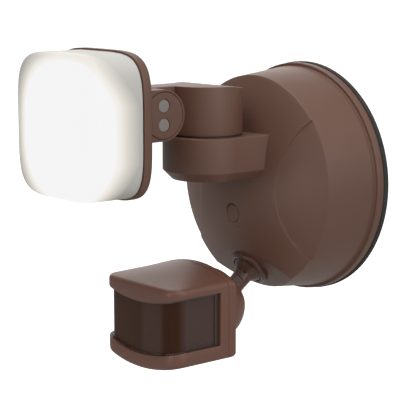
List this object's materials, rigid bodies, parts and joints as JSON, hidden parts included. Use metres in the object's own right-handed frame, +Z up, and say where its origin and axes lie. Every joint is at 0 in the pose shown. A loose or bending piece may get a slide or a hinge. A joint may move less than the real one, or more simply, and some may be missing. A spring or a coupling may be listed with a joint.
{
  "type": "security light",
  "caption": "Outdoor wall security light with a square opal LED head on a swivel and tilt arm, and a motion sensor on a ball joint under a round domed canopy.",
  "frame": {"origin": "middle of the crossbar's back on the wall plane, on the axis of the round canopy", "axes": "+Y into the wall, -Y the way the light points, +Z up, +X to the right seen from the front"},
  "size_m": [0.125, 0.1665, 0.1632],
  "materials": {
    "bronze_housing": "die-cast aluminium with satin bronze paint",
    "bronze_plastic": "satin bronze plastic",
    "dark_bronze_plastic": "dark bronze plastic",
    "opal_plastic": "opal diffusing plastic",
    "dark_lens_plastic": "glossy dark brown infrared lens",
    "gasket_foam": "black closed-cell foam",
    "seal_rubber": "black rubber",
    "black_plastic": "black plastic",
    "white_plastic": "white plastic",
    "white_board": "white solder mask on aluminium",
    "circuit_board": "green circuit board",
    "led_yellow": "phosphor under clear resin",
    "pad_grey": "grey thermal pad",
    "zinc_steel": "zinc-plated steel",
    "green_screw": "green ground screw",
    "can_metal": "nickel-plated can",
    "photocell_orange": "photocell resin",
    "relay_blue": "blue relay case"
  },
  "bodies": {
    "base": {"wall_gasket": "gasket_foam", "mounting_bracket": "zinc_steel", "ground_screw": "green_screw", "canopy": "bronze_housing", "mounting_bolt": "zinc_steel", "screw_plug": "bronze_plastic", "driver_board": "circuit_board", "driver_parts": "black_plastic", "driver_screws": "zinc_steel", "swivel_seal": "seal_rubber", "socket_collar": "dark_bronze_plastic", "sensor_stem": "bronze_plastic", "stem_nut": "zinc_steel"},
    "arm": {"swivel_arm": "bronze_housing", "swivel_washer": "zinc_steel", "swivel_nut": "zinc_steel", "tilt_washer": "black_plastic", "pivot_disc": "bronze_housing", "pivot_screws": "zinc_steel"},
    "head": {"head_shell": "bronze_housing", "head_grommet": "seal_rubber", "thermal_pad": "pad_grey", "led_board": "white_board", "leds": "led_yellow", "board_screws": "zinc_steel", "reflector": "white_plastic", "lens_seal": "seal_rubber", "lens": "opal_plastic", "lens_screws": "zinc_steel"},
    "cups": {"friction_cups": "black_plastic"},
    "sensor": {"sensor_rear_shell": "bronze_plastic", "sensor_front_shell": "bronze_plastic", "ball_retainer": "black_plastic", "retainer_screws": "zinc_steel", "pir_lens": "dark_lens_plastic", "sensor_board": "circuit_board", "pir_detector": "can_metal", "photocell": "photocell_orange", "relay": "relay_blue", "sensor_screws": "zinc_steel"},
    "time_control": {"time_dial": "black_plastic"},
    "range_control": {"range_dial": "black_plastic"}
  },
  "joints": [
    {"name": "head_swivel", "type": "hinge", "parent": "base", "child": "arm", "pos_m": [0, -0.0718, 0.0281], "axis": [0, 0, 1], "range_deg": [-65, 65]},
    {"name": "head_tilt", "type": "hinge", "parent": "arm", "child": "head", "pos_m": [0, -0.1129, 0.042], "axis": [1, 0, 0], "range_deg": [-45, 55]},
    {"name": "sensor_pan", "type": "hinge", "parent": "base", "child": "cups", "pos_m": [0, -0.06387, -0.06497], "axis": [0, 0, 1], "range_deg": [-30, 30]},
    {"name": "sensor_tilt", "type": "hinge", "parent": "cups", "child": "sensor", "pos_m": [0, -0.06387, -0.06497], "axis": [1, 0, 0], "range_deg": [-15, 15]},
    {"name": "time_dial_turn", "type": "hinge", "parent": "sensor", "child": "time_control", "pos_m": [-0.013, -0.09975, -0.0865], "axis": [0, 0, 1], "range_deg": [-135, 135]},
    {"name": "range_dial_turn", "type": "hinge", "parent": "sensor", "child": "range_control", "pos_m": [0.013, -0.09975, -0.0865], "axis": [0, 0, 1], "range_deg": [-135, 135]}
  ]
}
